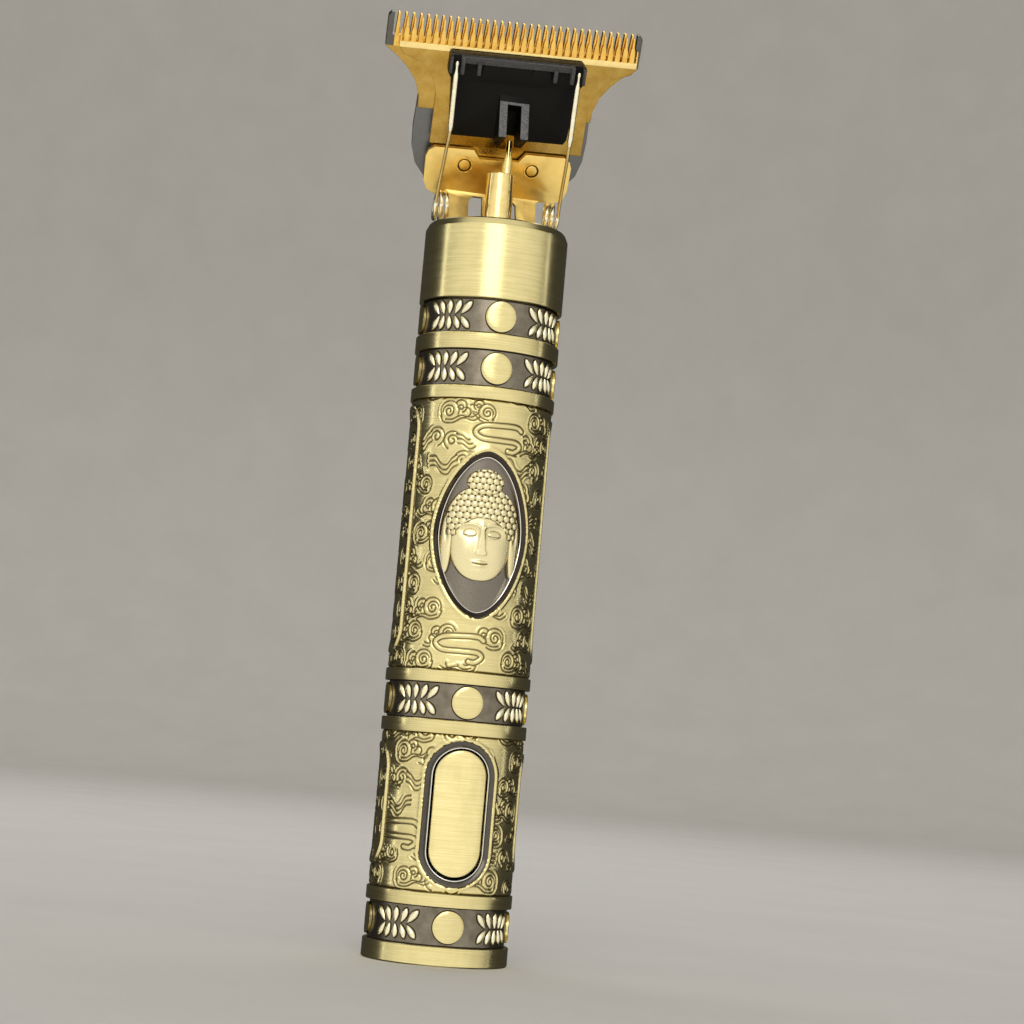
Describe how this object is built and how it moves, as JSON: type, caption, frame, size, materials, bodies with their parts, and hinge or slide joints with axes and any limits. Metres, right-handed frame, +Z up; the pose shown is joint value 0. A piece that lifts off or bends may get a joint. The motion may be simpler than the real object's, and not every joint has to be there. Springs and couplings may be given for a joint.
{
  "type": "hair clipper",
  "caption": "Cordless T-blade hair clipper: embossed antique-brass tube handle with oval relief medallion and pill button, gold blades on a leaning bracket.",
  "frame": {"origin": "centre of the flat base of the handle", "axes": "+Z up along the handle towards the blades, front (medallion, button and blade mechanism) facing -Y"},
  "size_m": [0.0421, 0.0234, 0.1531],
  "materials": {
    "antique_brass": "brushed antique brass with dark recesses",
    "dark_chrome": "polished dark plating",
    "pewter": "satin pewter ground with brass relief",
    "gold_plate": "bright gold plating on steel",
    "spring_gold": "pale gold wire",
    "black_plastic": "moulded black",
    "white_plastic": "moulded white",
    "board_green": "solder mask",
    "steel": "plain steel",
    "grey_steel": "blackened steel",
    "cell_wrap": "heat-shrink wrap",
    "foam": "closed-cell foam",
    "red_plastic": "wire insulation",
    "bronze": "sintered bronze",
    "copper": "enamelled copper",
    "ferrite": "sintered ferrite and carbon"
  },
  "bodies": {
    "housing": {"outer_sleeve": "antique_brass", "base_cap": "black_plastic", "collar_ring": "antique_brass", "medallion_rim": "dark_chrome", "medallion_plate": "pewter", "button_bezel": "dark_chrome", "tact_switch": "black_plastic", "circuit_board": "board_green", "status_led": "white_plastic", "charge_socket": "steel", "inner_chassis": "black_plastic", "battery_cell": "cell_wrap", "battery_tab_positive": "steel", "battery_tab_negative": "steel", "battery_foam": "foam", "motor_lead_positive": "red_plastic", "motor_lead_negative": "black_plastic", "motor_can": "steel", "motor_end_cap": "white_plastic", "front_bush": "bronze", "rear_bush": "bronze", "blade_bracket": "gold_plate", "fixed_blade": "gold_plate", "blade_backplate": "grey_steel", "magnet_left": "ferrite", "magnet_right": "ferrite", "brush_left": "ferrite", "brush_right": "ferrite", "motor_screw_left": "steel", "motor_screw_right": "steel", "blade_screw_left": "steel", "blade_screw_right": "steel"},
    "drive": {"rotor_core": "steel", "motor_shaft": "steel", "rotor_windings": "copper", "commutator": "copper", "eccentric_drive": "gold_plate"},
    "cutter": {"cutter_blade": "gold_plate", "cutter_carrier": "black_plastic"},
    "left_spring": {"spring_left": "spring_gold"},
    "right_spring": {"spring_right": "spring_gold"},
    "button": {"power_button": "antique_brass", "switch_plunger": "white_plastic"}
  },
  "joints": [
    {"name": "drive_spin", "type": "hinge", "parent": "housing", "child": "drive", "pos_m": [0, 0.0016, 0.11], "axis": [0, 0, 1], "range_deg": [-132.5, 48.5]},
    {"name": "cutter_slide", "type": "slide", "parent": "housing", "child": "cutter", "axis": [0.9992, -0.023, 0.0329], "range_m": [-0.00176, 0.00064]},
    {"name": "left_spring_flex", "type": "hinge", "parent": "housing", "child": "left_spring", "pos_m": [-0.0092, 0.0046, 0.123], "axis": [0, 1, 0], "range_deg": [-4.66, 1.72]},
    {"name": "right_spring_flex", "type": "hinge", "parent": "housing", "child": "right_spring", "pos_m": [0.0092, 0.0046, 0.123], "axis": [0, 1, 0], "range_deg": [-4.66, 1.72]},
    {"name": "power_button_press", "type": "slide", "parent": "housing", "child": "button", "axis": [0, 1, 0], "range_m": [0, 0.0005], "stiffness_N_per_m": 600, "springref_m": -0.0004}
  ],
  "couplings": [
    {"joint": "drive_spin", "follows": "cutter_slide", "rad_per_m": 1309},
    {"joint": "left_spring_flex", "follows": "cutter_slide", "rad_per_m": 45.662},
    {"joint": "right_spring_flex", "follows": "cutter_slide", "rad_per_m": 45.662}
  ]
}
